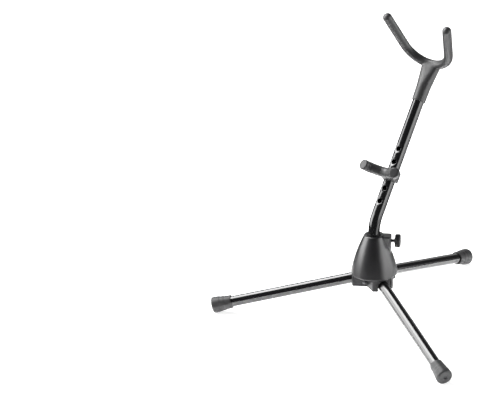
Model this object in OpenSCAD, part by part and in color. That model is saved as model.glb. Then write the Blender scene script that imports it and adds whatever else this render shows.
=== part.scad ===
// Folding instrument stand: three folding tube legs under a domed hub, a bent mast with a clamp
// screw, a coated U-shaped yoke at the top and a pegged U-shaped cradle lower down.
// Millimetres. Origin on the hub axis at floor level, +Z up, the instrument stands on the -Y side
// and the mast leans towards +Y, over the rear leg.

/* [Legs] */
// Distance from the hub axis to the middle of each foot end
foot_circle_r = 270.5; // [220:0.5:320]
// Height at which the three leg axes meet on the hub axis
leg_cross_z = 81.8; // [70:0.1:100]
// Height of the middle of each foot end
foot_end_z = 11.7; // [11:0.1:20]
// Outer diameter of a leg tube
leg_d = 18; // [14:0.5:22]
// Distance along the leg from the hub axis to its hinge pin
leg_pin_x = 27; // [24:0.5:30]
// Diameter of a hinge pin
leg_pin_d = 5; // [3:0.5:7]
// Length of a rubber foot cap
foot_len = 33.2; // [26:0.2:45]
// Diameter of a foot cap at its outer end
foot_d = 27.2; // [22:0.2:32]
// Diameter of a foot cap at its mouth
foot_mouth_d = 22.4; // [20:0.2:26]

/* [Hub] */
// Diameter of the dome at its lower edge
dome_d = 77.8; // [70:0.2:90]
// Diameter of the flat top of the dome
dome_top_d = 32.2; // [26:0.2:40]
// Height of the lower edge of the dome
dome_z0 = 84; // [80:0.5:90]
// Height of the top of the dome
dome_z1 = 151; // [130:0.5:170]
// Radius of the curve of the dome's side
dome_side_r = 257; // [150:1:400]
// Wall thickness of the dome
dome_wall = 2.8; // [2:0.1:5]
// Height of the lower edge of the dome's skirt beside each leg
skirt_z0 = 65; // [62:0.5:72]
// Width of the skirt that hangs over a leg
skirt_w = 37; // [34:0.5:42]
// Height of the underside of the leg brackets
bracket_z0 = 65; // [60:0.5:67]
// Radius reached by the leg brackets
bracket_r = 37.6; // [34:0.2:38.4]
// Width of a leg bracket over both cheeks
bracket_w = 25.4; // [23:0.2:30]

/* [Clamp] */
// Direction in which the clamp screw points, seen from above
clamp_az = 30; // [0:1:60]
// Height of the clamp screw
clamp_z = 141; // [130:0.5:142]
// Distance from the hub axis to the outer face of the clamp boss
boss_r = 28.3; // [24:0.1:34]
// Width of the clamp boss
boss_w = 19.5; // [14:0.5:24]
// Diameter of the clamp screw
screw_d = 5; // [4:0.5:6]
// Diameter of the clamp knob
knob_d = 22; // [18:0.5:30]
// Thickness of the clamp knob
knob_t = 8.8; // [6:0.2:14]

/* [Mast] */
// Outer diameter of the mast tube
mast_d = 19; // [16:0.5:22]
// Wall thickness of the mast tube and the leg tubes
tube_wall = 1.2; // [1:0.1:2]
// Angle by which the upper mast leans back
lean = 36; // [20:0.5:45]
// Height at which the leaning axis would meet the hub axis
mast_cross_z = 169.8; // [160:0.2:185]
// Radius of the bend, on the tube's centre line
bend_r = 50; // [40:1:60]
// Distance up the lean to the middle peg hole
hole_mid = 83.6; // [70:0.2:100]
// Spacing of the five peg holes
hole_pitch = 22.8; // [18:0.2:28]
// Diameter of a peg hole
hole_d = 8.6; // [6:0.1:9]

/* [Yoke] */
// Distance up the lean to the bottom of the yoke's U
yoke_s = 280.7; // [240:0.5:320]
// Distance up the lean to the lower edge of the yoke's sleeve
neck_s0 = 215; // [200:0.5:230]
// Angle of the U in front of the vertical
yoke_forward = 27.2; // [0:0.2:45]
// Radius of the bottom of the U, on its centre line
yoke_arc_r = 45; // [35:0.5:60]
// Angle by which each arm spreads outwards
yoke_spread = 14.5; // [0:0.5:25]
// Length of the straight part of each arm
yoke_arm = 60.9; // [40:0.5:90]
// Diameter of the rubber covered arms
yoke_d = 15; // [12:0.5:20]
// Diameter of the steel rod inside the yoke and the cradle
core_d = 8; // [5:0.5:9]

/* [Cradle] */
// Radius of the cradle's curve, on its centre line
cradle_arc_r = 30.8; // [26:0.1:45]
// Half of the angle of the cradle's curve
cradle_half = 77; // [60:1:90]
// Distance in front of the mast axis of the middle of the cradle
cradle_front = 18.4; // [18.2:0.1:24]
// Diameter of the cradle's arms
cradle_d = 17; // [14:0.5:18]
// Diameter of the ribbed ends of the cradle's arms
cradle_tip_d = 17.6; // [15:0.1:20]
// Wall thickness of the saddle that straddles the mast
saddle_wall = 3.3; // [2:0.1:5]

/* [Hidden] */
$fn = 96;
leg_slope = atan((leg_cross_z - foot_end_z) / foot_circle_r);
leg_end_x = foot_circle_r / cos(leg_slope);
foot_x0 = leg_end_x - foot_len;
tube_x0 = leg_pin_x + 8;
tube_x1 = leg_end_x - 14;
leg_gap = 0.4;
slot_r = leg_d / 2 + leg_gap;
slot_r0 = 13.9;
knuckle_r = leg_d / 2 - tube_wall;
eye_r = 7.8;
eye_w = leg_d - 0.6;
run_fit = 0.08;
lap = 1.5;
hair = 0.05;
rest_gap = 0.3;
socket_r = 11.5;
socket_bore = 10.64;
socket_z0 = 60.5;
floor_t = 2.5;
plug_z0 = socket_z0 + floor_t + rest_gap;
mast_z0 = plug_z0 + 2.4;
bend_t = bend_r * tan(lean / 2);
bend_z0 = mast_cross_z - bend_t;
tube_end_s = 262;
post_r = mast_d / 2 - tube_wall;
side_angle = 90 - yoke_spread;
tip_at = yoke_arm - 1.2;
flange_z0 = 88.3;
flange_z1 = 92;
flange_r = 34.1;
skirt_r = dome_d / 2 - 0.4;
skirt_wall = 2.6;
screw_z0 = 76;
lower_cut = 250;
dome_mid_r = (dome_d + dome_top_d) / 4;
dome_mid_z = (dome_z0 + dome_z1) / 2;
dome_dr = (dome_d - dome_top_d) / 2;
dome_dz = dome_z1 - dome_z0;
dome_chord = sqrt(dome_dr * dome_dr + dome_dz * dome_dz);
dome_back = sqrt(dome_side_r * dome_side_r - dome_chord * dome_chord / 4);
dome_cr = dome_mid_r - dome_back * dome_dz / dome_chord;
dome_cz = dome_mid_z - dome_back * dome_dr / dome_chord;

rear_az = 90;
left_az = 210;
right_az = 330;

// ---- shared shapes -----------------------------------------------------------------------

// Puts its child on a leg: X runs out along the leg's axis from the hub axis.
module on_leg(az) {
    rotate([0, 0, az]) translate([0, 0, leg_cross_z]) rotate([0, leg_slope, 0]) children();
}

// A cylinder along X from x0 to x1.
module bar_x(x0, x1, r) {
    translate([x0, 0, 0]) rotate([0, 90, 0]) cylinder(h = x1 - x0, r = r);
}

// Puts its child on the leaning mast: Z runs up the lean and -Y faces forward.
module on_mast(s) {
    translate([0, 0, mast_cross_z]) rotate([-lean, 0, 0]) translate([0, 0, s]) children();
}

// Puts its child in the plane of the yoke's U: X across, Z up the arms.
module on_yoke() {
    on_mast(yoke_s) rotate([lean + yoke_forward, 0, 0]) children();
}

// The mast's outline as a solid of radius r: vertical part, bend and lean up to s1.
// The bend is a hair thicker than the straight parts, which run a little way into it.
module mast_solid(r, z0, s1) {
    translate([0, 0, z0]) cylinder(h = bend_z0 + lap - z0, r = r);
    translate([0, bend_r, bend_z0])
        rotate([90, 0, -90])
            rotate_extrude(angle = lean) translate([bend_r, 0]) circle(r = r + hair);
    on_mast(bend_t - lap) cylinder(h = s1 - bend_t + lap, r = r);
}

// Part of a ring lying in the XZ plane, from angle a0 for span degrees, measured from -Z.
module arc_xz(ring_r, r, a0, span) {
    translate([0, 0, ring_r])
        rotate([90, 0, 0])
            rotate_extrude(angle = span, start = a0 - 90) translate([ring_r, 0]) circle(r = r);
}

// One straight arm of the yoke, from inside the end of the curve, on the side +1 or -1.
module yoke_arm_solid(side, r, len) {
    translate([side * yoke_arc_r * sin(side_angle), 0, yoke_arc_r * (1 - cos(side_angle))])
        rotate([0, side * yoke_spread, 0])
            translate([0, 0, -lap]) cylinder(h = len + lap, r = r - hair);
}

// The U of the yoke as one solid of radius r with arms of length len.
module yoke_u(r, len) {
    arc_xz(yoke_arc_r, r, -side_angle, 2 * side_angle);
    yoke_arm_solid(1, r, len);
    yoke_arm_solid(-1, r, len);
}

// Puts its child in the plane of the cradle: X across, Z forward from the mast axis.
module on_cradle() {
    on_mast(hole_mid) rotate([90, 0, 0]) children();
}

// Part of the cradle's curve, from angle a0 for span degrees, measured from the middle.
module cradle_arc(r, a0, span) {
    on_cradle() translate([0, 0, cradle_front]) arc_xz(cradle_arc_r, r, a0, span);
}

// ---- hub ---------------------------------------------------------------------------------

// The outline of the dome, moved inwards by the given amount.
module dome_solid(inset, z0, z1) {
    rotate_extrude()
        intersection() {
            translate([dome_cr, dome_cz]) circle(r = dome_side_r - inset, $fn = 720);
            translate([0, z0]) square([dome_d, z1 - z0]);
        }
}

module along_clamp() {
    rotate([0, 0, clamp_az]) translate([0, 0, clamp_z]) children();
}

module at_hub_screws(k) {
    rotate([0, 0, 30 + 120 * k]) translate([28, 0, 0]) children();
}

// A slab over each leg, cut off round at the outside.
module leg_slabs(half, r, z0, z1) {
    intersection() {
        union() {
            for (az = [rear_az, left_az, right_az])
                rotate([0, 0, az]) translate([4, -half, z0]) cube([60, 2 * half, z1 - z0]);
        }
        translate([0, 0, z0 - 1]) cylinder(h = z1 - z0 + 2, r = r);
    }
}

// Walls that hang from the dome's edge beside each leg and meet near the mast.
module skirts() {
    difference() {
        leg_slabs(skirt_w / 2, skirt_r, skirt_z0, dome_z0 + 1);
        leg_slabs(skirt_w / 2 - skirt_wall, skirt_r - skirt_wall, skirt_z0 - 1, dome_z0 + 2);
        for (az = [rear_az, left_az, right_az])
            rotate([0, 0, az])
                translate([24, -bracket_w / 2 - 0.15, skirt_z0 - 1])
                    cube([30, bracket_w + 0.3, dome_z0 + 3 - skirt_z0]);
    }
}

module hub_cover() {
    color([0.30, 0.30, 0.32])
        difference() {
            union() {
                skirts();
                difference() {
                    dome_solid(0, dome_z0, dome_z1);
                    dome_solid(dome_wall, dome_z0 - 1, dome_z1 - 9);
                }
                intersection() {
                    dome_solid(0.5, dome_z0, dome_z1);
                    union() {
                        for (k = [0:2])
                            at_hub_screws(k) translate([0, 0, flange_z1]) cylinder(h = 22, r = 4);
                        translate([0, 0, 110]) cylinder(h = 35, r = 15);
                    }
                }
                rotate([0, 0, clamp_az])
                    translate([0, -boss_w / 2, 117]) cube([boss_r, boss_w, dome_z1 - 1 - 117]);
            }
            translate([0, 0, dome_z0]) cylinder(h = 100, r = socket_r);
            along_clamp() bar_x(5, 18, 4 + run_fit);
            along_clamp() bar_x(17, boss_r + 1, 4.5);
            for (k = [0:2])
                at_hub_screws(k) translate([0, 0, flange_z1 - 1]) cylinder(h = 13, r = 1.5);
        }
}

// Room for one leg to hang in, arched above the tube and open below.
module leg_slot(az) {
    on_leg(az) bar_x(14.5, 60, slot_r);
    rotate([0, 0, az])
        translate([0, slot_r - hair, 0])
            rotate([90, 0, 0])
                linear_extrude(height = 2 * (slot_r - hair))
                    polygon([
                        [slot_r0, 50], [60, 50],
                        [60, leg_cross_z - 60 * tan(leg_slope)],
                        [slot_r0, leg_cross_z - slot_r0 * tan(leg_slope)]
                    ]);
}

module leg_spider() {
    color([0.06, 0.06, 0.065])
        difference() {
            union() {
                translate([0, 0, bracket_z0]) cylinder(h = flange_z1 - bracket_z0, r = 17.5);
                translate([0, 0, flange_z0 - 2]) cylinder(h = flange_z1 - flange_z0 + 2, r = 24);
                for (k = [0:2])
                    at_hub_screws(k)
                        translate([0, 0, screw_z0]) cylinder(h = flange_z1 - screw_z0, r = 4.2);
                translate([0, 0, flange_z0]) cylinder(h = flange_z1 - flange_z0, r = flange_r);
                intersection() {
                    union() {
                        for (az = [rear_az, left_az, right_az])
                            rotate([0, 0, az])
                                translate([10, -bracket_w / 2, bracket_z0])
                                    cube([40, bracket_w, flange_z1 - bracket_z0 - 1]);
                    }
                    union() {
                        translate([0, 0, bracket_z0])
                            cylinder(h = dome_z0 - bracket_z0, r = bracket_r);
                        translate([0, 0, bracket_z0])
                            cylinder(h = flange_z1 - bracket_z0, r = flange_r);
                    }
                }
                for (az = [rear_az, left_az, right_az])
                    rotate([0, 0, az])
                        for (side = [-1, 1])
                            translate([31, side * (bracket_w / 2 - 1.9) - 1.4, bracket_z0 - 1.4])
                                cube([3.6, 2.8, 3]);
            }
            for (az = [rear_az, left_az, right_az])
                leg_slot(az);
            for (az = [rear_az, left_az, right_az])
                on_leg(az)
                    translate([leg_pin_x, 20, 0]) rotate([90, 0, 0]) {
                        cylinder(h = 40, d = leg_pin_d);
                        translate([0, 0, 20 - eye_w / 2 - leg_gap])
                            cylinder(h = eye_w + 2 * leg_gap, r = eye_r + leg_gap);
                    }
            translate([0, 0, 50]) cylinder(h = 60, r = socket_r);
            for (k = [0:2])
                at_hub_screws(k) translate([0, 0, 70]) cylinder(h = 30, r = 1.7);
        }
}

module mast_socket() {
    color([0.10, 0.10, 0.11])
        difference() {
            translate([0, 0, socket_z0]) cylinder(h = 146 - socket_z0, r = socket_r);
            translate([0, 0, socket_z0 - 1]) cylinder(h = 100, r = socket_bore);
            along_clamp() bar_x(5, 20, 4 + run_fit);
        }
}

module socket_floor() {
    color([0.05, 0.05, 0.05])
        difference() {
            union() {
                translate([0, 0, socket_z0]) cylinder(h = floor_t, r = socket_bore);
                translate([0, 0, socket_z0 - 1.5]) cylinder(h = 1.5, r = socket_r);
            }
            translate([0, 0, socket_z0 - 5]) cylinder(h = 10, r = 3);
        }
}

module mast_bush() {
    color([0.03, 0.03, 0.03])
        difference() {
            union() {
                translate([0, 0, 146]) cylinder(h = dome_z1 - 146, r = socket_r);
                translate([0, 0, dome_z1]) cylinder(h = 2.2, r = socket_r - 0.7);
            }
            translate([0, 0, 140]) cylinder(h = 20, r = mast_d / 2 + run_fit);
        }
}

module clamp_insert() {
    color([0.75, 0.60, 0.30])
        along_clamp()
            difference() {
                bar_x(18, boss_r, 4.5);
                bar_x(10, boss_r + 5, screw_d / 2 + run_fit);
            }
}

module hub_screw(k) {
    color([0.55, 0.55, 0.57])
        at_hub_screws(k)
            difference() {
                union() {
                    translate([0, 0, screw_z0]) cylinder(h = flange_z0 + 13 - screw_z0, r = 1.5);
                    translate([0, 0, screw_z0 - 2.2]) cylinder(h = 2.2, r = 3);
                }
                for (a = [0, 90])
                    rotate([0, 0, a])
                        translate([-2, -0.4, screw_z0 - 3]) cube([4, 0.8, 1.8]);
            }
}

module hub_screw_a() { hub_screw(0); }
module hub_screw_b() { hub_screw(1); }
module hub_screw_c() { hub_screw(2); }

// ---- legs --------------------------------------------------------------------------------

module leg_pin(az) {
    color([0.62, 0.62, 0.64])
        on_leg(az)
            translate([leg_pin_x, 0, 0])
                rotate([90, 0, 0]) {
                    translate([0, 0, -bracket_w / 2]) cylinder(h = bracket_w, d = leg_pin_d);
                    translate([0, 0, bracket_w / 2]) cylinder(h = 1.4, d = leg_pin_d + 3);
                    translate([0, 0, -bracket_w / 2 - 1.4]) cylinder(h = 1.4, d = leg_pin_d + 3);
                }
}

module rear_leg_pin() { leg_pin(rear_az); }
module left_leg_pin() { leg_pin(left_az); }
module right_leg_pin() { leg_pin(right_az); }

module leg_tube(az) {
    color([0.08, 0.08, 0.085])
        on_leg(az)
            difference() {
                bar_x(tube_x0, tube_x1, leg_d / 2);
                bar_x(tube_x0 - 1, tube_x1 + 1, knuckle_r);
            }
}

module rear_leg_tube() { leg_tube(rear_az); }
module left_leg_tube() { leg_tube(left_az); }
module right_leg_tube() { leg_tube(right_az); }

// The moulded piece in the inner end of a leg, with the eye for the hinge pin.
module leg_knuckle(az) {
    color([0.07, 0.07, 0.075])
        on_leg(az)
            difference() {
                union() {
                    bar_x(leg_pin_x, tube_x0 + 24, knuckle_r);
                    bar_x(tube_x0 - 1.6, tube_x0, leg_d / 2);
                    translate([leg_pin_x, eye_w / 2, 0])
                        rotate([90, 0, 0]) cylinder(h = eye_w, r = eye_r);
                }
                translate([leg_pin_x, 20, 0])
                    rotate([90, 0, 0]) cylinder(h = 40, r = leg_pin_d / 2 + run_fit);
            }
}

module rear_leg_knuckle() { leg_knuckle(rear_az); }
module left_leg_knuckle() { leg_knuckle(left_az); }
module right_leg_knuckle() { leg_knuckle(right_az); }

// A stepped rubber cap with a hollow in its end and a small flat where it stands.
module leg_foot(az) {
    m = foot_mouth_d / 2;
    e = foot_d / 2;
    color([0.40, 0.40, 0.42])
        difference() {
            on_leg(az)
                translate([foot_x0, 0, 0]) rotate([0, 90, 0])
                    rotate_extrude()
                        polygon([
                            [leg_d / 2, 0], [m - 0.8, 0], [m, 0.8], [m + 0.2, 11.4],
                            [m + 0.8, 12], [m + 1.1, 18.4], [m + 1.7, 19],
                            [e - 0.1, foot_len - 8], [e, foot_len - 3], [e - 0.4, foot_len - 1.5],
                            [e - 1.5, foot_len - 0.4], [e - 3, foot_len], [3.4, foot_len],
                            [3.4, foot_len - 1.6], [0, foot_len - 1.6],
                            [0, foot_len - 14], [leg_d / 2, foot_len - 14]
                        ]);
            translate([-400, -400, -lower_cut]) cube([800, 800, lower_cut]);
        }
}

module rear_leg_foot() { leg_foot(rear_az); }
module left_leg_foot() { leg_foot(left_az); }
module right_leg_foot() { leg_foot(right_az); }

// ---- clamp -------------------------------------------------------------------------------

module clamp_pad() {
    color([0.85, 0.83, 0.76])
        along_clamp()
            difference() {
                bar_x(mast_d / 2 - 0.6, 16, 4);
                bar_x(12.8, 17, 2 + run_fit);
                translate([0, 0, -20]) cylinder(h = 40, r = mast_d / 2 + rest_gap);
            }
}

module clamp_screw() {
    color([0.60, 0.60, 0.62])
        along_clamp() {
            bar_x(13.1, 16.3, 2);
            bar_x(16.3, boss_r + 13, screw_d / 2);
        }
}

module clamp_knob() {
    color([0.12, 0.12, 0.13])
        along_clamp()
            difference() {
                union() {
                    bar_x(boss_r + 6.3, boss_r + 6.3 + knob_t, knob_d / 2 - 0.6);
                    bar_x(boss_r + 7.1, boss_r + 5.5 + knob_t, knob_d / 2);
                    bar_x(boss_r + 5.1, boss_r + 6.3, 5);
                }
                bar_x(boss_r, boss_r + 13, screw_d / 2);
                for (a = [0:15:345])
                    rotate([a, 0, 0])
                        translate([boss_r + 5, 0, knob_d / 2 + 0.4])
                            rotate([0, 90, 0]) cylinder(h = 20, r = 1, $fn = 24);
            }
}

// ---- mast --------------------------------------------------------------------------------

module mast_glide() {
    color([0.80, 0.80, 0.76])
        translate([0, 0, mast_z0 + rest_gap])
            difference() {
                cylinder(h = 12, r = socket_bore - run_fit);
                translate([0, 0, -1]) cylinder(h = 14, r = mast_d / 2 + run_fit);
            }
}

module mast_plug() {
    color([0.05, 0.05, 0.05]) {
        translate([0, 0, plug_z0]) cylinder(h = mast_z0 - plug_z0, r = 10.3);
        translate([0, 0, mast_z0]) cylinder(h = 12, r = post_r);
    }
}

module mast_tube() {
    color([0.06, 0.06, 0.065])
        difference() {
            mast_solid(mast_d / 2, mast_z0, tube_end_s);
            mast_solid(post_r, mast_z0 - 1, tube_end_s + 1);
            for (k = [-2:2])
                on_mast(hole_mid + k * hole_pitch)
                    rotate([90, 0, 0]) cylinder(h = 20, d = hole_d);
            on_mast(240) rotate([0, 90, 0]) translate([0, 0, -20]) cylinder(h = 40, r = 2);
        }
}

module yoke_post() {
    color([0.55, 0.55, 0.57])
        difference() {
            union() {
                on_mast(222) cylinder(h = tube_end_s - 222, r = post_r);
                on_mast(tube_end_s) cylinder(h = yoke_s - tube_end_s, r = 6);
            }
            on_yoke() arc_xz(yoke_arc_r, core_d / 2, -side_angle, 2 * side_angle);
            on_mast(240) rotate([0, 90, 0]) translate([0, 0, -20]) cylinder(h = 40, r = 2);
        }
}

module yoke_pin() {
    color([0.65, 0.65, 0.67])
        on_mast(240)
            rotate([0, 90, 0]) translate([0, 0, -mast_d / 2 + 0.2])
                cylinder(h = mast_d - 0.4, r = 2);
}

module yoke_core() {
    color([0.60, 0.60, 0.62]) on_yoke() yoke_u(core_d / 2, yoke_arm - 4);
}

// The flared sleeve under the yoke, flattened in front and behind where it meets the U.
module yoke_neck() {
    on_mast(0)
        intersection() {
            rotate_extrude()
                polygon([
                    [0, neck_s0], [10.6, neck_s0], [11.2, neck_s0 + 0.6], [11.5, 230],
                    [12.1, 244], [13.2, 256], [14.8, 268], [16.6, yoke_s + 0.8],
                    [0, yoke_s + 0.8]
                ]);
            rotate([90, 0, 90])
                translate([0, 0, -20])
                    linear_extrude(height = 40)
                        polygon([
                            [-17, 210], [17, 210], [8.2, yoke_s + 5], [-8.2, yoke_s + 5]
                        ]);
        }
}

module yoke_cover() {
    color([0.34, 0.34, 0.35])
        difference() {
            union() {
                yoke_neck();
                on_yoke() {
                    yoke_u(yoke_d / 2, yoke_arm);
                    for (side = [-1, 1])
                        translate([
                            side * (yoke_arc_r * sin(side_angle) + tip_at * sin(yoke_spread)),
                            0,
                            yoke_arc_r * (1 - cos(side_angle)) + tip_at * cos(yoke_spread)
                        ])
                            sphere(r = yoke_d / 2 + 0.1);
                }
            }
            on_yoke() yoke_u(core_d / 2, yoke_arm - 4);
            on_mast(200) cylinder(h = tube_end_s - 200, r = mast_d / 2);
            on_mast(200) cylinder(h = yoke_s - 200, r = 6);
        }
}

// ---- cradle ------------------------------------------------------------------------------

// The saddle: two cheeks that straddle the mast and a bridge in front that carries the core.
module cradle_saddle() {
    half_w = mast_d / 2 + rest_gap + saddle_wall;
    h = cradle_d + 1.2;
    color([0.36, 0.36, 0.37])
        difference() {
            union() {
                on_mast(hole_mid - h / 2)
                    difference() {
                        union() {
                            cylinder(h = h, r = half_w);
                            translate([-half_w, 0, 0]) cube([2 * half_w, 6, h]);
                        }
                        translate([-30, 6, -1]) cube([60, 40, h + 2]);
                        translate([0, 0, -1]) cylinder(h = h + 2, r = mast_d / 2 + rest_gap);
                        translate([-mast_d / 2 - rest_gap, 0, -1])
                            cube([mast_d + 2 * rest_gap, 40, h + 2]);
                    }
                cradle_arc(cradle_d / 2, -14, 28);
            }
            on_mast(0) cylinder(h = 200, r = mast_d / 2 + rest_gap);
            cradle_arc(core_d / 2, -cradle_half + 6, 2 * cradle_half - 12);
            on_cradle() cylinder(h = cradle_front, r = hole_d / 2 - rest_gap);
        }
}

module cradle_peg() {
    color([0.62, 0.62, 0.64])
        difference() {
            on_cradle() translate([0, 0, 4]) cylinder(h = cradle_front - 4, r = hole_d / 2 - rest_gap);
            cradle_arc(core_d / 2, -cradle_half + 6, 2 * cradle_half - 12);
        }
}

module cradle_core() {
    color([0.60, 0.60, 0.62]) cradle_arc(core_d / 2, -cradle_half + 6, 2 * cradle_half - 12);
}

// A rubber sleeve on one arm, between the saddle and the ribbed end.
module cradle_sleeve(a0) {
    color([0.36, 0.36, 0.37])
        difference() {
            cradle_arc(cradle_d / 2, a0, 34);
            cradle_arc(core_d / 2, -cradle_half + 6, 2 * cradle_half - 12);
            on_mast(0) cylinder(h = 200, r = mast_d / 2 + rest_gap + saddle_wall);
            on_mast(0) translate([-13.1, 0, 0]) cube([26.2, 6, 200]);
        }
}

module cradle_sleeve_left() { cradle_sleeve(-48); }
module cradle_sleeve_right() { cradle_sleeve(14); }

// The ribbed end of one arm: rings with grooves between them and a rounded end.
module cradle_tip(side) {
    color([0.30, 0.30, 0.31])
        difference() {
            union() {
                cradle_arc(cradle_tip_d / 2 - 0.9, side > 0 ? 48 : -cradle_half, cradle_half - 48);
                for (a = [49, 58.6, 67.5])
                    cradle_arc(cradle_tip_d / 2, side > 0 ? a : -a - 6.5, 6.5);
                on_cradle()
                    translate([
                        side * cradle_arc_r * sin(cradle_half), 0,
                        cradle_front + cradle_arc_r * (1 - cos(cradle_half))
                    ])
                        rotate([0, side * (90 - cradle_half), 0])
                            rotate_extrude()
                                intersection() {
                                    union() {
                                        square([cradle_tip_d / 2 - 2.6, 2.6]);
                                        translate([cradle_tip_d / 2 - 2.6, 0]) circle(r = 2.6);
                                    }
                                    square([20, 2.6]);
                                }
            }
            cradle_arc(core_d / 2, -cradle_half + 6, 2 * cradle_half - 12);
        }
}

module cradle_tip_left() { cradle_tip(-1); }
module cradle_tip_right() { cradle_tip(1); }

hub_cover();
leg_spider();
mast_socket();
socket_floor();
mast_bush();
clamp_insert();
hub_screw_a();
hub_screw_b();
hub_screw_c();
rear_leg_pin();
left_leg_pin();
right_leg_pin();
rear_leg_tube();
rear_leg_knuckle();
rear_leg_foot();
left_leg_tube();
left_leg_knuckle();
left_leg_foot();
right_leg_tube();
right_leg_knuckle();
right_leg_foot();
clamp_pad();
clamp_screw();
clamp_knob();
mast_glide();
mast_plug();
mast_tube();
yoke_post();
yoke_pin();
yoke_core();
yoke_cover();
cradle_saddle();
cradle_peg();
cradle_core();
cradle_sleeve_left();
cradle_sleeve_right();
cradle_tip_left();
cradle_tip_right();
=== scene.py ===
import math

import bpy
import bmesh
from mathutils import Matrix, Vector


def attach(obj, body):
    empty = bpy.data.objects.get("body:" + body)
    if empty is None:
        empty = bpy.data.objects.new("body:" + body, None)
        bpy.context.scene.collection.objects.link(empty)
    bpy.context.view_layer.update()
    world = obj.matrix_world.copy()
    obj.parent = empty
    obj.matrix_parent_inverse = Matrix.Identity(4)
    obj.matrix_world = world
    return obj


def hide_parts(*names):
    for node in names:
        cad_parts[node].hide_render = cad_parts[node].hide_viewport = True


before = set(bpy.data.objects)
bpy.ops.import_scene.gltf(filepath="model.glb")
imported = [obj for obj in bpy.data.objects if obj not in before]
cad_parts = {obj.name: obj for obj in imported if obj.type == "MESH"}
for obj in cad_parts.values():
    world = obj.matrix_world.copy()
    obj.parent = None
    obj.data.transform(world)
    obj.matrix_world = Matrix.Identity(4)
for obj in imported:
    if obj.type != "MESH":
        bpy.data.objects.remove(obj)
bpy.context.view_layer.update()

# ---- dimensions, in millimetres, as in the CAD source --------------------------------------

MM = 0.001
LEAN = 36.0
MAST_CROSS_Z = 169.8
BEND_R = 50.0
BEND_T = BEND_R * math.tan(math.radians(LEAN / 2))
BEND_Z0 = MAST_CROSS_Z - BEND_T
MAST_R = 9.5
MAST_IN = 8.3
HOLE_MID = 83.6
HOLE_PITCH = 22.8
HOLE_R = 4.3
DISH_R, DISH = 8.0, 1.3
MAST_Z0, MAST_END_S = 66.0, 262.0
YOKE_S = 280.7
NECK_S0 = 215.0
YOKE_FORWARD = 27.2
YOKE_ARC_R = 45.0
YOKE_SPREAD = 14.5
YOKE_ARM = 60.9
YOKE_R = 7.5
CRADLE_ARC_R = 30.8
CRADLE_HALF = 77.0
CRADLE_FRONT = 18.4
CRADLE_R = 8.5
SLEEVE_FROM, TIP_FROM = 14.3, 48.2
TIP_GROOVES = (48.6, 57.0, 66.3)
GROOVE_HALF, GROOVE_DEPTH = 0.9, 0.95
TIP_R = 8.8
SADDLE_IN = 9.8
SADDLE_OUT = 13.1
CROSS_Z = 81.8
FOOT_END_Z = 11.7
FOOT_CIRCLE_R = 270.5
SLOPE = math.atan((CROSS_Z - FOOT_END_Z) / FOOT_CIRCLE_R)
LEG_END_X = FOOT_CIRCLE_R / math.cos(SLOPE)
FOOT_LEN = 33.2
FOOT_MOUTH_R, FOOT_END_R = 11.2, 13.6
DOME_Z0, DOME_Z1 = 84.0, 151.0
DOME_R0, DOME_R1 = 38.9, 16.1
DOME_SIDE_R = 257.0
DOME_WALL = 2.8
SKIRT_Z0, SKIRT_HALF, SKIRT_R, SKIRT_WALL = 65.0, 18.5, 38.5, 2.6
BRACKET_GAP_HALF = 12.85
CLAMP_AZ = 30.0
CLAMP_Z = 141.0
BOSS_R, BOSS_W = 28.3, 19.5
BOSS_ROUND = 3.4
KNOB_X0, KNOB_T, KNOB_R = 34.6, 8.8, 11.0
SHEET_R = 330.0
LEG_AZ = {"rear": 90.0, "left": 210.0, "right": 330.0}


def rot(axis, deg):
    return Matrix.Rotation(math.radians(deg), 4, axis)


def move(x, y, z):
    return Matrix.Translation((x, y, z))


def mast_at(s):
    return move(0, 0, MAST_CROSS_Z) @ rot("X", -LEAN) @ move(0, 0, s)


def leg_at(az):
    return rot("Z", az) @ move(0, 0, CROSS_Z) @ rot("Y", math.degrees(SLOPE))


YOKE_FRAME = mast_at(YOKE_S) @ rot("X", LEAN + YOKE_FORWARD)
CRADLE_FRAME = mast_at(HOLE_MID) @ rot("X", 90) @ move(0, 0, CRADLE_FRONT)
CLAMP_FRAME = rot("Z", CLAMP_AZ) @ move(0, 0, CLAMP_Z) @ rot("Y", 90)


# ---- mesh helpers ----------------------------------------------------------------------------

def new_object(name, bm, smooth=True):
    """Makes an object from a bmesh in millimetres."""
    bmesh.ops.recalc_face_normals(bm, faces=bm.faces)
    bmesh.ops.scale(bm, vec=(MM, MM, MM), verts=bm.verts)
    mesh = bpy.data.meshes.new(name)
    bm.to_mesh(mesh)
    bm.free()
    mesh.polygons.foreach_set("use_smooth", [smooth] * len(mesh.polygons))
    obj = bpy.data.objects.new(name, mesh)
    bpy.context.scene.collection.objects.link(obj)
    return obj


def add_rings(bm, rings, closed_ends=True):
    """Skins a list of rings of points, each with the same count. A ring of one point is a tip."""
    made = [[bm.verts.new(p) for p in ring] for ring in rings]
    for a, b in zip(made, made[1:]):
        n = max(len(a), len(b))
        for i in range(n):
            j = (i + 1) % n
            if len(a) == 1:
                bm.faces.new((a[0], b[j], b[i]))
            elif len(b) == 1:
                bm.faces.new((a[i], a[j], b[0]))
            else:
                bm.faces.new((a[i], a[j], b[j], b[i]))
    if closed_ends:
        for ring in (made[0], made[-1]):
            if len(ring) > 2:
                bm.faces.new(ring)
    return made


def revolve(bm, profile, place, segs=96):
    """Turns (radius, height) points about local Z."""
    rings = []
    for r, h in profile:
        if r < 1e-6:
            rings.append([place @ Vector((0, 0, h))])
            continue
        rings.append([
            place @ Vector((r * math.cos(2 * math.pi * k / segs), r * math.sin(2 * math.pi * k / segs), h))
            for k in range(segs)
        ])
    add_rings(bm, rings)


def arc(cx, cy, r, a0, a1, n):
    """Points on an arc, angles in degrees."""
    turns = [math.radians(a0 + (a1 - a0) * k / n) for k in range(n + 1)]
    return [(cx + r * math.cos(a), cy + r * math.sin(a)) for a in turns]


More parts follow.
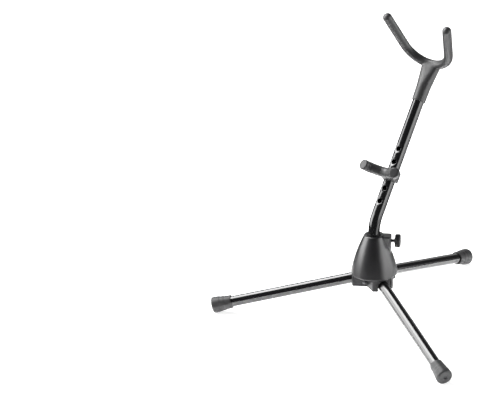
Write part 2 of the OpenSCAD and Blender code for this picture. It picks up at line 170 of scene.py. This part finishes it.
def round_profile(points, segs=4):
    """Rounds the corners of a profile of (r, h, corner radius) points."""
    out = []
    n = len(points)
    for i, (x, y, c) in enumerate(points):
        if c <= 0 or i in (0, n - 1):
            out.append((x, y))
            continue
        p = Vector((x, y))
        a = Vector(points[i - 1][:2]) - p
        b = Vector(points[i + 1][:2]) - p
        c = min(c, a.length * 0.49, b.length * 0.49)
        p0, p1 = p + a.normalized() * c, p + b.normalized() * c
        for k in range(segs + 1):
            t = k / segs
            q = p0 * (1 - t) ** 2 + p * 2 * t * (1 - t) + p1 * t ** 2
            out.append((q.x, q.y))
    return out


def sweep_rings(path, radii, segs=48):
    """Rings round a path that lies in the plane X = any, using a fixed side vector per point."""
    rings = []
    n = len(path)
    for i, (p, side) in enumerate(path):
        a = path[max(i - 1, 0)][0]
        b = path[min(i + 1, n - 1)][0]
        t = (b - a).normalized()
        u = (side - t * side.dot(t)).normalized()
        v = t.cross(u)
        r = radii[i]
        if r < 1e-6:
            rings.append([p])
        else:
            rings.append([
                p + u * (r * math.cos(2 * math.pi * k / segs)) + v * (r * math.sin(2 * math.pi * k / segs))
                for k in range(segs)
            ])
    return rings


def apply_mods(obj):
    dg = bpy.context.evaluated_depsgraph_get()
    mesh = bpy.data.meshes.new_from_object(obj.evaluated_get(dg))
    old = obj.data
    obj.modifiers.clear()
    obj.data = mesh
    bpy.data.meshes.remove(old)


def cut_away(obj, tool):
    """Takes the tool's shape out of an object and deletes the tool."""
    m = obj.modifiers.new("cut", "BOOLEAN")
    m.operation = "DIFFERENCE"
    m.solver = "EXACT"
    m.object = tool
    apply_mods(obj)
    bpy.data.objects.remove(tool)


def blend_solid(obj, voxel, passes, factor=0.5):
    """Fuses overlapping shells into one skin and softens the joints between them."""
    m = obj.modifiers.new("fuse", "REMESH")
    m.mode = "VOXEL"
    m.voxel_size = voxel * MM
    m.use_smooth_shade = True
    s = obj.modifiers.new("soften", "SMOOTH")
    s.factor = factor
    s.iterations = passes
    apply_mods(obj)


# ---- materials -------------------------------------------------------------------------------

def material(name, color, rough, metallic=0.0, spec=0.5, grain=0.0, grain_scale=900.0, mottle=0.12,
             mottle_scale=60.0, rough_var=0.08):
    """A surface whose colour and roughness drift slowly, with fine grain as bump."""
    mat = bpy.data.materials.new(name)
    mat.use_nodes = True
    nt = mat.node_tree
    n, l = nt.nodes, nt.links
    b = n["Principled BSDF"]
    b.inputs["Metallic"].default_value = metallic
    b.inputs["Specular IOR Level"].default_value = spec
    co = n.new("ShaderNodeTexCoord")
    src = co.outputs["Object"]
    big = n.new("ShaderNodeTexNoise")
    big.inputs["Scale"].default_value = mottle_scale
    big.inputs["Detail"].default_value = 6
    l.new(src, big.inputs["Vector"])
    ramp = n.new("ShaderNodeMapRange")
    ramp.inputs["From Min"].default_value = 0.3
    ramp.inputs["From Max"].default_value = 0.7
    ramp.inputs["To Min"].default_value = 1 - mottle
    ramp.inputs["To Max"].default_value = 1 + mottle
    l.new(big.outputs["Fac"], ramp.inputs["Value"])
    mix = n.new("ShaderNodeMix")
    mix.data_type = "RGBA"
    mix.blend_type = "MULTIPLY"
    mix.inputs["Factor"].default_value = 1.0
    mix.inputs["A"].default_value = (*color, 1)
    l.new(ramp.outputs["Result"], mix.inputs["B"])
    l.new(mix.outputs["Result"], b.inputs["Base Color"])
    rr = n.new("ShaderNodeMapRange")
    rr.inputs["From Min"].default_value = 0.25
    rr.inputs["From Max"].default_value = 0.75
    rr.inputs["To Min"].default_value = max(0.02, rough - rough_var)
    rr.inputs["To Max"].default_value = min(1.0, rough + rough_var)
    fine = n.new("ShaderNodeTexNoise")
    fine.inputs["Scale"].default_value = mottle_scale * 5
    fine.inputs["Detail"].default_value = 8
    l.new(src, fine.inputs["Vector"])
    l.new(fine.outputs["Fac"], rr.inputs["Value"])
    l.new(rr.outputs["Result"], b.inputs["Roughness"])
    if grain > 0:
        g = n.new("ShaderNodeTexNoise")
        g.inputs["Scale"].default_value = grain_scale
        g.inputs["Detail"].default_value = 4
        l.new(src, g.inputs["Vector"])
        bump = n.new("ShaderNodeBump")
        bump.inputs["Strength"].default_value = grain
        bump.inputs["Distance"].default_value = 0.0002
        l.new(g.outputs["Fac"], bump.inputs["Height"])
        l.new(bump.outputs["Normal"], b.inputs["Normal"])
    return mat


MATS = {
    "dome": material("satin_black_dome", (0.008, 0.008, 0.009), 0.35, spec=0.75, grain=0.05,
                     grain_scale=1500, mottle=0.04, rough_var=0.02),
    "black": material("matt_black_moulding", (0.008, 0.008, 0.009), 0.46, spec=0.3, grain=0.25,
                      grain_scale=1200),
    "skirt": material("matt_black_skirt", (0.008, 0.008, 0.009), 0.46, spec=0.35, grain=0.15,
                      grain_scale=1300),
    "knob": material("satin_black_knob", (0.010, 0.010, 0.011), 0.36, grain=0.12, grain_scale=1500),
    "tube": material("gloss_black_tube", (0.006, 0.006, 0.0065), 0.14, spec=0.7, mottle=0.03,
                     rough_var=0.02),
    "rubber": material("soft_grey_rubber", (0.026, 0.026, 0.027), 0.44, grain=0.18, grain_scale=1400,
                       mottle=0.07, spec=0.6),
    "tip": material("ribbed_grey_rubber", (0.020, 0.020, 0.021), 0.45, grain=0.3, grain_scale=1300,
                    mottle=0.1),
    "foot": material("grained_grey_rubber", (0.021, 0.021, 0.022), 0.5, grain=0.6, grain_scale=1100,
                     mottle=0.14, mottle_scale=90),
    "steel": material("zinc_plated_steel", (0.55, 0.55, 0.57), 0.3, metallic=1.0, mottle=0.06, grain=0.1),
    "dark_steel": material("blackened_steel", (0.10, 0.10, 0.105), 0.32, metallic=1.0, mottle=0.06,
                           grain=0.1),
    "brass": material("machined_brass", (0.75, 0.56, 0.26), 0.28, metallic=1.0, mottle=0.06, grain=0.05),
    "nylon": material("natural_nylon", (0.72, 0.70, 0.62), 0.5, grain=0.1, mottle=0.05),
}


def dress(obj, mat):
    obj.data.materials.clear()
    obj.data.materials.append(MATS[mat])


def dress_node(node, mat):
    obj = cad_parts[node]
    if not obj.data.materials:
        obj.data.materials.append(MATS[mat])
    for slot in obj.material_slots:
        slot.material = MATS[mat]


def piece(obj, body, mat, slot, *nodes):
    dress(obj, mat)
    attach(obj, body)
    if nodes:
        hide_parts(*nodes)


# ---- dome with its clamp boss ------------------------------------------------------------------

def dome_radius(z, inset=0.0):
    dr, dz = DOME_R0 - DOME_R1, DOME_Z1 - DOME_Z0
    chord = math.hypot(dr, dz)
    back = math.sqrt(DOME_SIDE_R ** 2 - chord ** 2 / 4)
    cr = (DOME_R0 + DOME_R1) / 2 - back * dz / chord
    cz = (DOME_Z0 + DOME_Z1) / 2 - back * dr / chord
    return cr + math.sqrt((DOME_SIDE_R - inset) ** 2 - (z - cz) ** 2)


def prism(bm, place, outline, levels):
    """Closed outline raised through (height, inset) levels; the inset shrinks it towards its middle."""
    cx = sum(x for x, y in outline) / len(outline)
    cy = sum(y for x, y in outline) / len(outline)
    rings = []
    for z, inset in levels:
        ring = []
        for x, y in outline:
            d = Vector((cx - x, cy - y))
            d = d * (inset / d.length) if inset else Vector((0, 0))
            ring.append(place @ Vector((x + d.x, y + d.y, z)))
        rings.append(ring)
    add_rings(bm, rings)


bm = bmesh.new()
outer = [(dome_radius(z), z) for z in [DOME_Z0 + 0.8 + (DOME_Z1 - 2.0 - DOME_Z0) * k / 60 for k in range(61)]]
top_r = dome_radius(DOME_Z1 - 1.2)
profile = [(dome_radius(DOME_Z0 + 0.8, DOME_WALL), DOME_Z0 + 0.8), (dome_radius(DOME_Z0, 2.2), DOME_Z0 + 0.2),
           (dome_radius(DOME_Z0) - 1.6, DOME_Z0), (dome_radius(DOME_Z0) - 0.7, DOME_Z0),
           (dome_radius(DOME_Z0) - 0.2, DOME_Z0 + 0.3)]
profile += outer
profile += [(top_r - 0.3, DOME_Z1 - 0.5), (top_r - 1.1, DOME_Z1 - 0.05), (top_r - 1.8, DOME_Z1),
            (11.9, DOME_Z1), (11.5, DOME_Z1 - 0.4), (11.5, DOME_Z1 - 10)]
profile += [(dome_radius(z, DOME_WALL), z) for z in [140 - 54 * k / 18 for k in range(1, 19)]]
segs = 192
rings = [[Vector((r * math.cos(2 * math.pi * k / segs), r * math.sin(2 * math.pi * k / segs), z))
          for k in range(segs)] for r, z in profile]
made = add_rings(bm, rings, closed_ends=False)
for i in range(segs):
    j = (i + 1) % segs
    bm.faces.new((made[-1][i], made[-1][j], made[0][j], made[0][i]))
# The clamp boss, with its upright outer edges well rounded.
outline = [(12.0, -BOSS_W / 2)] + arc(BOSS_R - BOSS_ROUND, -BOSS_W / 2 + BOSS_ROUND, BOSS_ROUND, -90, 0, 8)
outline += arc(BOSS_R - BOSS_ROUND, BOSS_W / 2 - BOSS_ROUND, BOSS_ROUND, 0, 90, 8) + [(12.0, BOSS_W / 2)]
prism(bm, rot("Z", CLAMP_AZ), outline,
      [(116.0, 0), (DOME_Z1 - 2.0, 0), (DOME_Z1 - 1.3, 0.25), (DOME_Z1 - 1.0, 0.9)])
dome = new_object("dome", bm)
blend_solid(dome, 0.72, 2)
piece(dome, "base", "dome", "dome_plastic", "hub_cover")

# The walls that hang beside each leg.
bm = bmesh.new()
inner_r, inner_half = SKIRT_R - SKIRT_WALL, SKIRT_HALF - SKIRT_WALL
for az in LEG_AZ.values():
    for side in (-1, 1):
        a0, a1 = (math.degrees(math.asin(h / SKIRT_R)) for h in (SKIRT_HALF, BRACKET_GAP_HALF))
        b0, b1 = (math.degrees(math.asin(h / inner_r)) for h in (BRACKET_GAP_HALF, inner_half))
        outline = [(8.9, inner_half), (10.3, SKIRT_HALF)] + arc(0, 0, SKIRT_R, a0, a1, 10)
        outline += arc(0, 0, inner_r, b0, b1, 6)
        prism(bm, rot("Z", az), [(x, side * y) for x, y in outline],
              [(SKIRT_Z0, 0), (DOME_Z0 + 1.0, 0)])
skirts = new_object("skirts", bm)
blend_solid(skirts, 0.5, 2)
piece(skirts, "base", "skirt", "dome_plastic", "hub_cover")

# ---- leg bracket moulding, its edges eased ---------------------------------------------------------

def eased_copy(node, name, voxel, passes):
    """A copy of a CAD node's own surface with its edges softened."""
    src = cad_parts[node]
    bm = bmesh.new()
    bm.from_mesh(src.data)
    bmesh.ops.remove_doubles(bm, verts=bm.verts, dist=1e-6)
    bmesh.ops.transform(bm, matrix=src.matrix_world, verts=bm.verts)
    bmesh.ops.scale(bm, vec=(1 / MM, 1 / MM, 1 / MM), verts=bm.verts)
    obj = new_object(name, bm)
    blend_solid(obj, voxel, passes)
    return obj


piece(eased_copy("leg_spider", "leg_brackets", 0.5, 2), "base", "black", "black_plastic", "leg_spider")

# ---- knob -----------------------------------------------------------------------------------------

bm = bmesh.new()
ribs = 24
segs = ribs * 8
prof = round_profile([
    (2.5, -1.2, 0), (5.0, -1.2, 0.4), (5.0, 0.0, 0.3), (KNOB_R - 0.9, 0.0, 0), (KNOB_R, 0.9, 0.8),
    (KNOB_R, KNOB_T - 1.1, 0.9), (KNOB_R - 1.4, KNOB_T, 0.6), (KNOB_R - 2.6, KNOB_T, 0.3),
    (KNOB_R - 3.2, KNOB_T - 0.6, 0.3), (0.0, KNOB_T - 0.6, 0),
])
rings = []
for r, h in prof:
    if r < 1e-6:
        rings.append([CLAMP_FRAME @ Vector((0, 0, KNOB_X0 + h))])
        continue
    ring = []
    for k in range(segs):
        a = 2 * math.pi * k / segs
        deep = max(0.0, math.cos(ribs * a)) ** 0.8 * 0.75 if r > KNOB_R - 1.6 else 0.0
        ring.append(CLAMP_FRAME @ Vector(((r - deep) * math.cos(a), (r - deep) * math.sin(a), KNOB_X0 + h)))
    rings.append(ring)
add_rings(bm, rings)
knob = new_object("knob", bm)
piece(knob, "clamp_handle", "knob", "knob_plastic", "clamp_knob")

# ---- feet -----------------------------------------------------------------------------------------

foot_profile = round_profile([
    (9.0, 6.0, 0), (9.0, 0.0, 0.3), (FOOT_MOUTH_R - 0.1, 0.0, 0.7), (FOOT_MOUTH_R + 0.2, 11.2, 0.3),
    (FOOT_MOUTH_R + 0.75, 11.9, 0.3), (FOOT_MOUTH_R + 1.1, 18.3, 0.3),
    (FOOT_MOUTH_R + 1.65, 19.0, 0.3), (FOOT_END_R - 0.15, FOOT_LEN - 8, 1.0),
    (FOOT_END_R, FOOT_LEN - 3.0, 1.2), (FOOT_END_R - 0.5, FOOT_LEN - 1.2, 0.8),
    (FOOT_END_R - 1.4, FOOT_LEN - 0.3, 0.8), (FOOT_END_R - 3.2, FOOT_LEN, 0.8),
    (3.6, FOOT_LEN, 0.5), (3.2, FOOT_LEN - 1.6, 0.4), (0.0, FOOT_LEN - 1.6, 0),
], segs=5)
for side, az in LEG_AZ.items():
    bm = bmesh.new()
    place = leg_at(az) @ move(LEG_END_X - FOOT_LEN, 0, 0) @ rot("Y", 90)
    revolve(bm, foot_profile, place, 112)
    for v in bm.verts:
        if v.co.z < 0.0:
            v.co.z = 0.0
    foot = new_object(side + "_foot", bm)
    piece(foot, side + "_leg", "foot", "foot_rubber", side + "_leg_foot")

# ---- mast tube with its dished holes -------------------------------------------------------------

bm = bmesh.new()
segs = 96
outer_rings, inner_rings = [], []
stations = []
z = MAST_Z0
while z < BEND_Z0:
    stations.append(("v", z))
    z += 4.0
for k in range(25):
    stations.append(("b", LEAN * k / 24))
s = BEND_T + 1.0
while s < MAST_END_S - 30:
    stations.append(("s", s))
    s += 0.8 if abs(s - HOLE_MID) < 2.5 * HOLE_PITCH else 3.0
stations.append(("s", MAST_END_S))
X = Vector((1, 0, 0))
for kind, t in stations:
    if kind == "v":
        place = move(0, 0, t)
    elif kind == "b":
        a = math.radians(t)
        place = move(0, BEND_R - BEND_R * math.cos(a), BEND_Z0 + BEND_R * math.sin(a)) @ rot("X", -t)
    else:
        place = mast_at(t)
    ring, ring_in = [], []
    for k in range(segs):
        a = 2 * math.pi * k / segs
        r = MAST_R
        if kind == "s":
            around = MAST_R * math.atan2(math.cos(a), -math.sin(a))
            for h in range(-2, 3):
                d = math.hypot(t - HOLE_MID - h * HOLE_PITCH, around)
                if d < DISH_R:
                    f = 1 - max(0.0, d - HOLE_R) / (DISH_R - HOLE_R)
                    f = f * f * (3 - 2 * f)
                    r = MAST_R - DISH * f
        ring.append(place @ Vector((r * math.cos(a), r * math.sin(a), 0)))
        ri = MAST_IN - (MAST_R - r)
        ring_in.append(place @ Vector((ri * math.cos(a), ri * math.sin(a), 0)))
    outer_rings.append(ring)
    inner_rings.append(ring_in)
mo = add_rings(bm, outer_rings, closed_ends=False)
mi = add_rings(bm, inner_rings, closed_ends=False)
for a, b in ((mo[0], mi[0]), (mo[-1], mi[-1])):
    for i in range(segs):
        j = (i + 1) % segs
        bm.faces.new((a[i], a[j], b[j], b[i]))
mast = new_object("mast_tube_visual", bm)
bm = bmesh.new()
for h in range(-2, 3):
    revolve(bm, [(0, 5.0), (HOLE_R, 5.0), (HOLE_R, 20.0), (0, 20.0)],
            mast_at(HOLE_MID + h * HOLE_PITCH) @ rot("X", 90), 48)
cut_away(mast, new_object("drill", bm))
piece(mast, "mast", "tube", "black_tube", "mast_tube")

# ---- yoke -----------------------------------------------------------------------------------------

def u_path(frame_matrix, arc_r, half, arm, spread, step=2.0, tip_r=0.0, n_tip=8):
    """A planar U in the XZ plane of a frame, from the -X tip to the +X tip, with round tips."""
    side = (frame_matrix.to_3x3() @ Vector((0, 1, 0))).normalized()
    pts = []
    x_end, z_end = arc_r * math.sin(math.radians(half)), arc_r * (1 - math.cos(math.radians(half)))
    d = Vector((math.sin(math.radians(spread)), 0, math.cos(math.radians(spread))))
    steps = max(1, int(arm / step))
    for k in range(steps, 0, -1):
        q = Vector((x_end, 0, z_end)) + d * (arm * k / steps)
        pts.append(Vector((-q.x, 0, q.z)))
    n_arc = max(8, int(arc_r * math.radians(2 * half) / step))
    for k in range(n_arc + 1):
        a = math.radians(-half + 2 * half * k / n_arc)
        pts.append(Vector((arc_r * math.sin(a), 0, arc_r * (1 - math.cos(a)))))
    for k in range(1, steps + 1):
        pts.append(Vector((x_end, 0, z_end)) + d * (arm * k / steps))
    radii = [1.0] * len(pts)
    if tip_r > 0:
        for end in (0, -1):
            p = pts[end]
            out = (p - pts[1 if end == 0 else -2]).normalized()
            cap, cap_r = [], []
            for k in range(1, n_tip + 1):
                a = math.pi / 2 * k / n_tip
                cap.append(p + out * (tip_r * math.sin(a)))
                cap_r.append(math.cos(a) if k < n_tip else 0.0)
            if end == 0:
                pts = cap[::-1] + pts
                radii = cap_r[::-1] + radii
            else:
                pts = pts + cap
                radii = radii + cap_r
    return [(frame_matrix @ p, side) for p in pts], radii


bm = bmesh.new()
path, shape = u_path(YOKE_FRAME, YOKE_ARC_R, 90 - YOKE_SPREAD, YOKE_ARM, YOKE_SPREAD, tip_r=YOKE_R - 0.9)
add_rings(bm, sweep_rings(path, [YOKE_R * f for f in shape], 56))
# Distance up the lean, half width and half depth of the sleeve.
neck = [(NECK_S0, 10.9, 10.9), (NECK_S0 + 0.5, 11.25, 11.25), (222, 11.35, 11.35), (230, 11.5, 11.5),
        (238, 11.8, 11.6), (246, 12.3, 11.4), (252, 12.9, 10.9), (258, 13.6, 10.2), (264, 14.4, 9.5),
        (270, 15.2, 8.8), (275, 16.0, 8.2), (YOKE_S + 0.5, 16.6, 7.4)]
rings = []
fine_neck = []
for (s0, a0, b0), (s1, a1, b1) in zip(neck, neck[1:]):
    steps = max(1, int((s1 - s0) / 1.5))
    for k in range(steps):
        t = k / steps
        fine_neck.append((s0 + (s1 - s0) * t, a0 + (a1 - a0) * t, b0 + (b1 - b0) * t))
fine_neck.append(neck[-1])
for s, a, b in fine_neck:
    flat = min(1.0, max(0.0, (s - 240) / 35.0))
    power = 2.0 + 1.2 * flat
    place = mast_at(s)
    ring = []
    for k in range(72):
        t = 2 * math.pi * k / 72
        c, d = math.cos(t), math.sin(t)
        ring.append(place @ Vector((a * math.copysign(abs(c) ** (2 / power), c),
                                    b * math.copysign(abs(d) ** (2 / power), d), 0)))
    rings.append(ring)
add_rings(bm, rings)
yoke = new_object("yoke_rubber", bm)
blend_solid(yoke, 0.8, 8)
piece(yoke, "mast", "rubber", "grey_rubber", "yoke_cover")

# ---- cradle ---------------------------------------------------------------------------------------

def cradle_path(a0, a1, n):
    side = (CRADLE_FRAME.to_3x3() @ Vector((0, 1, 0))).normalized()
    pts = []
    for k in range(n + 1):
        a = math.radians(a0 + (a1 - a0) * k / n)
        place = Vector((CRADLE_ARC_R * math.sin(a), 0, CRADLE_ARC_R * (1 - math.cos(a))))
        pts.append((CRADLE_FRAME @ place, side))
    return pts


bm = bmesh.new()
half_h = (2 * CRADLE_R + 1.2) / 2
outline = []
for k in range(49):
    a = math.radians(180 + 180 * k / 48)
    outline.append((SADDLE_OUT * math.cos(a), SADDLE_OUT * math.sin(a)))
outline += [(SADDLE_OUT, 5.2), (SADDLE_OUT - 0.8, 6.0), (SADDLE_IN + 0.8, 6.0), (SADDLE_IN, 5.2)]
for k in range(49):
    a = math.radians(360 - 180 * k / 48)
    outline.append((SADDLE_IN * math.cos(a), SADDLE_IN * math.sin(a)))
outline += [(-SADDLE_IN, 5.2), (-SADDLE_IN - 0.8, 6.0), (-SADDLE_OUT + 0.8, 6.0), (-SADDLE_OUT, 5.2)]
lo = [bm.verts.new(mast_at(HOLE_MID - half_h) @ Vector((x, y, 0))) for x, y in outline]
hi = [bm.verts.new(mast_at(HOLE_MID + half_h) @ Vector((x, y, 0))) for x, y in outline]
count = len(outline)
for i in range(count):
    j = (i + 1) % count
    bm.faces.new((lo[i], lo[j], hi[j], hi[i]))
bm.faces.new(lo)
bm.faces.new(hi)
bmesh.ops.triangulate(bm, faces=[f for f in bm.faces if len(f.verts) > 4])
path = cradle_path(-14, 14, 14)
add_rings(bm, sweep_rings(path, [CRADLE_R] * len(path), 56))
saddle = new_object("saddle", bm)
blend_solid(saddle, 0.6, 5)
bm = bmesh.new()
revolve(bm, [(0, 0), (SADDLE_IN, 0), (SADDLE_IN, 60), (0, 60)], mast_at(HOLE_MID - 30), 96)
cut_away(saddle, new_object("drill", bm))
piece(saddle, "cradle", "rubber", "grey_rubber", "cradle_saddle")

for name, sign in (("left", -1), ("right", 1)):
    bm = bmesh.new()
    path = cradle_path(sign * SLEEVE_FROM, sign * TIP_FROM, 22)
    radii = [CRADLE_R - 0.35, CRADLE_R - 0.08] + [CRADLE_R] * (len(path) - 3) + [CRADLE_R - 0.1]
    add_rings(bm, sweep_rings(path, radii, 72))
    sleeve = new_object("cradle_sleeve_" + name + "_skin", bm)
    piece(sleeve, "cradle", "rubber", "grey_rubber", "cradle_sleeve_" + name)
    bm = bmesh.new()
    steps = 116
    path = cradle_path(sign * TIP_FROM, sign * CRADLE_HALF, steps)
    radii = []
    for k in range(steps + 1):
        deg = TIP_FROM + (CRADLE_HALF - TIP_FROM) * k / steps
        r = TIP_R - 0.05
        for groove in TIP_GROOVES:
            d = abs(deg - groove) * math.radians(CRADLE_ARC_R)
            if d < GROOVE_HALF:
                r = TIP_R - GROOVE_DEPTH * math.cos(math.pi / 2 * d / GROOVE_HALF) ** 0.7
        radii.append(r)
    out = (path[-1][0] - path[-2][0]).normalized()
    for k in range(1, 9):
        a = math.pi / 2 * k / 8
        path.append((path[steps][0] + out * (2.5 * math.sin(a)), path[steps][1]))
        radii.append((TIP_R - 3.0) + 2.95 * math.cos(a))
    path.append((path[-1][0] + out * 0.001, path[-1][1]))
    radii.append(0.0)
    add_rings(bm, sweep_rings(path, radii, 72))
    tip = new_object("cradle_tip_" + name + "_skin", bm)
    piece(tip, "cradle", "tip", "tip_rubber", "cradle_tip_" + name)

# ---- carried-over pieces ---------------------------------------------------------------------------

for node, mat in {
    "mast_socket": "black", "socket_floor": "black", "mast_bush": "black",
    "clamp_insert": "brass",
    "hub_screw_a": "dark_steel", "hub_screw_b": "dark_steel", "hub_screw_c": "dark_steel",
    "rear_leg_pin": "steel", "left_leg_pin": "steel", "right_leg_pin": "steel",
    "rear_leg_tube": "tube", "left_leg_tube": "tube", "right_leg_tube": "tube",
    "rear_leg_knuckle": "black", "left_leg_knuckle": "black", "right_leg_knuckle": "black",
    "clamp_pad": "nylon", "clamp_screw": "dark_steel", "mast_glide": "nylon", "mast_plug": "black",
    "yoke_post": "steel", "yoke_pin": "steel", "yoke_core": "steel", "cradle_peg": "steel",
    "cradle_core": "steel",
}.items():
    dress_node(node, mat)

# ---- floor, light, camera ---------------------------------------------------------------------------

def floor_sheet(name, outline, z, glow=0.0):
    """A pale sheet lying on the floor."""
    bm = bmesh.new()
    bm.faces.new([bm.verts.new((x, y, 0)) for x, y in outline])
    sheet = new_object(name, bm, smooth=False)
    sheet.location.z = z
    mat = bpy.data.materials.new(name + "_white")
    mat.use_nodes = True
    b = mat.node_tree.nodes["Principled BSDF"]
    b.inputs["Base Color"].default_value = (0.86, 0.86, 0.86, 1)
    b.inputs["Roughness"].default_value = 0.9
    b.inputs["Specular IOR Level"].default_value = 0.1
    b.inputs["Emission Color"].default_value = (1, 1, 1, 1)
    b.inputs["Emission Strength"].default_value = glow
    sheet.data.materials.append(mat)
    return sheet


# The wide floor fills the picture. The gloss of the stand sees only the sheet that it stands on.
floor = floor_sheet("floor", [(-12000, -12000), (12000, -12000), (12000, 12000), (-12000, 12000)], -0.0003,
                    glow=0.7)
floor.visible_glossy = False
floor.visible_shadow = False
sheet = floor_sheet("floor_sheet", arc(0, 0, SHEET_R, 0, 350, 35), -0.0006)
sheet.visible_camera = False


def area_light(name, place, target, size, power):
    data = bpy.data.lights.new(name, "AREA")
    data.shape = "RECTANGLE"
    data.size, data.size_y = size
    data.energy = power
    obj = bpy.data.objects.new(name, data)
    obj.location = place
    obj.rotation_euler = (Vector(target) - Vector(place)).to_track_quat("-Z", "Y").to_euler()
    obj.visible_camera = False
    bpy.context.scene.collection.objects.link(obj)
    return obj


# The camera looks from azimuth 38.5 degrees, 23 degrees above the floor.
AZ, EL, ROLL = math.radians(38.471), math.radians(23.145), math.radians(-1.426)
CAMERA_DISTANCE = 4.981582
SENSOR_MM = 36.0
LENS_MM = 220.465296
back = Vector((math.sin(AZ) * math.cos(EL), -math.cos(AZ) * math.cos(EL), math.sin(EL)))
right = Vector((math.cos(AZ), math.sin(AZ), 0))
up = back.cross(right)
target = right * -0.201422 + Vector((0, 0, 0.217520))


def seen(sideways, towards, high):
    """A place given from the camera's side: metres to its right, towards it, and up."""
    flat = Vector((back.x, back.y, 0)).normalized()
    return right * sideways + flat * towards + Vector((0, 0, high))


area_light("left_panel", seen(-1.63, -0.23, 0.69), (0, 0, 0.25), (1.45, 1.25), 42)
area_light("upper_panel", seen(-0.95, -0.66, 1.63), (0, 0, 0.25), (1.5, 0.9), 52)
area_light("right_panel", seen(1.55, 0.39, 0.45), (0, 0, 0.25), (2.1, 0.85), 24)
area_light("low_panel", seen(0.95, -0.1, 0.006), seen(0.95, -0.1, 1), (0.7, 1.6), 8)
area_light("back_panel", seen(0.2, -3.0, 0.9), (0, 0, 0.25), (3.0, 1.6), 12)

world = bpy.data.worlds.new("studio")
world.use_nodes = True
world.node_tree.nodes["Background"].inputs["Color"].default_value = (1, 1, 1, 1)
world.node_tree.nodes["Background"].inputs["Strength"].default_value = 0.06
bpy.context.scene.world = world
bpy.context.scene.view_settings.view_transform = "Standard"

cam_data = bpy.data.cameras.new("camera")
cam_data.sensor_width = SENSOR_MM
cam_data.lens = LENS_MM
cam_data.clip_end = 60
camera = bpy.data.objects.new("camera", cam_data)
r2 = right * math.cos(ROLL) + up * math.sin(ROLL)
u2 = up * math.cos(ROLL) - right * math.sin(ROLL)
spot = target + back * CAMERA_DISTANCE
camera.matrix_world = Matrix((
    (r2.x, u2.x, back.x, spot.x), (r2.y, u2.y, back.y, spot.y), (r2.z, u2.z, back.z, spot.z), (0, 0, 0, 1)))
bpy.context.scene.collection.objects.link(camera)
bpy.context.scene.camera = camera
bpy.context.view_layer.update()
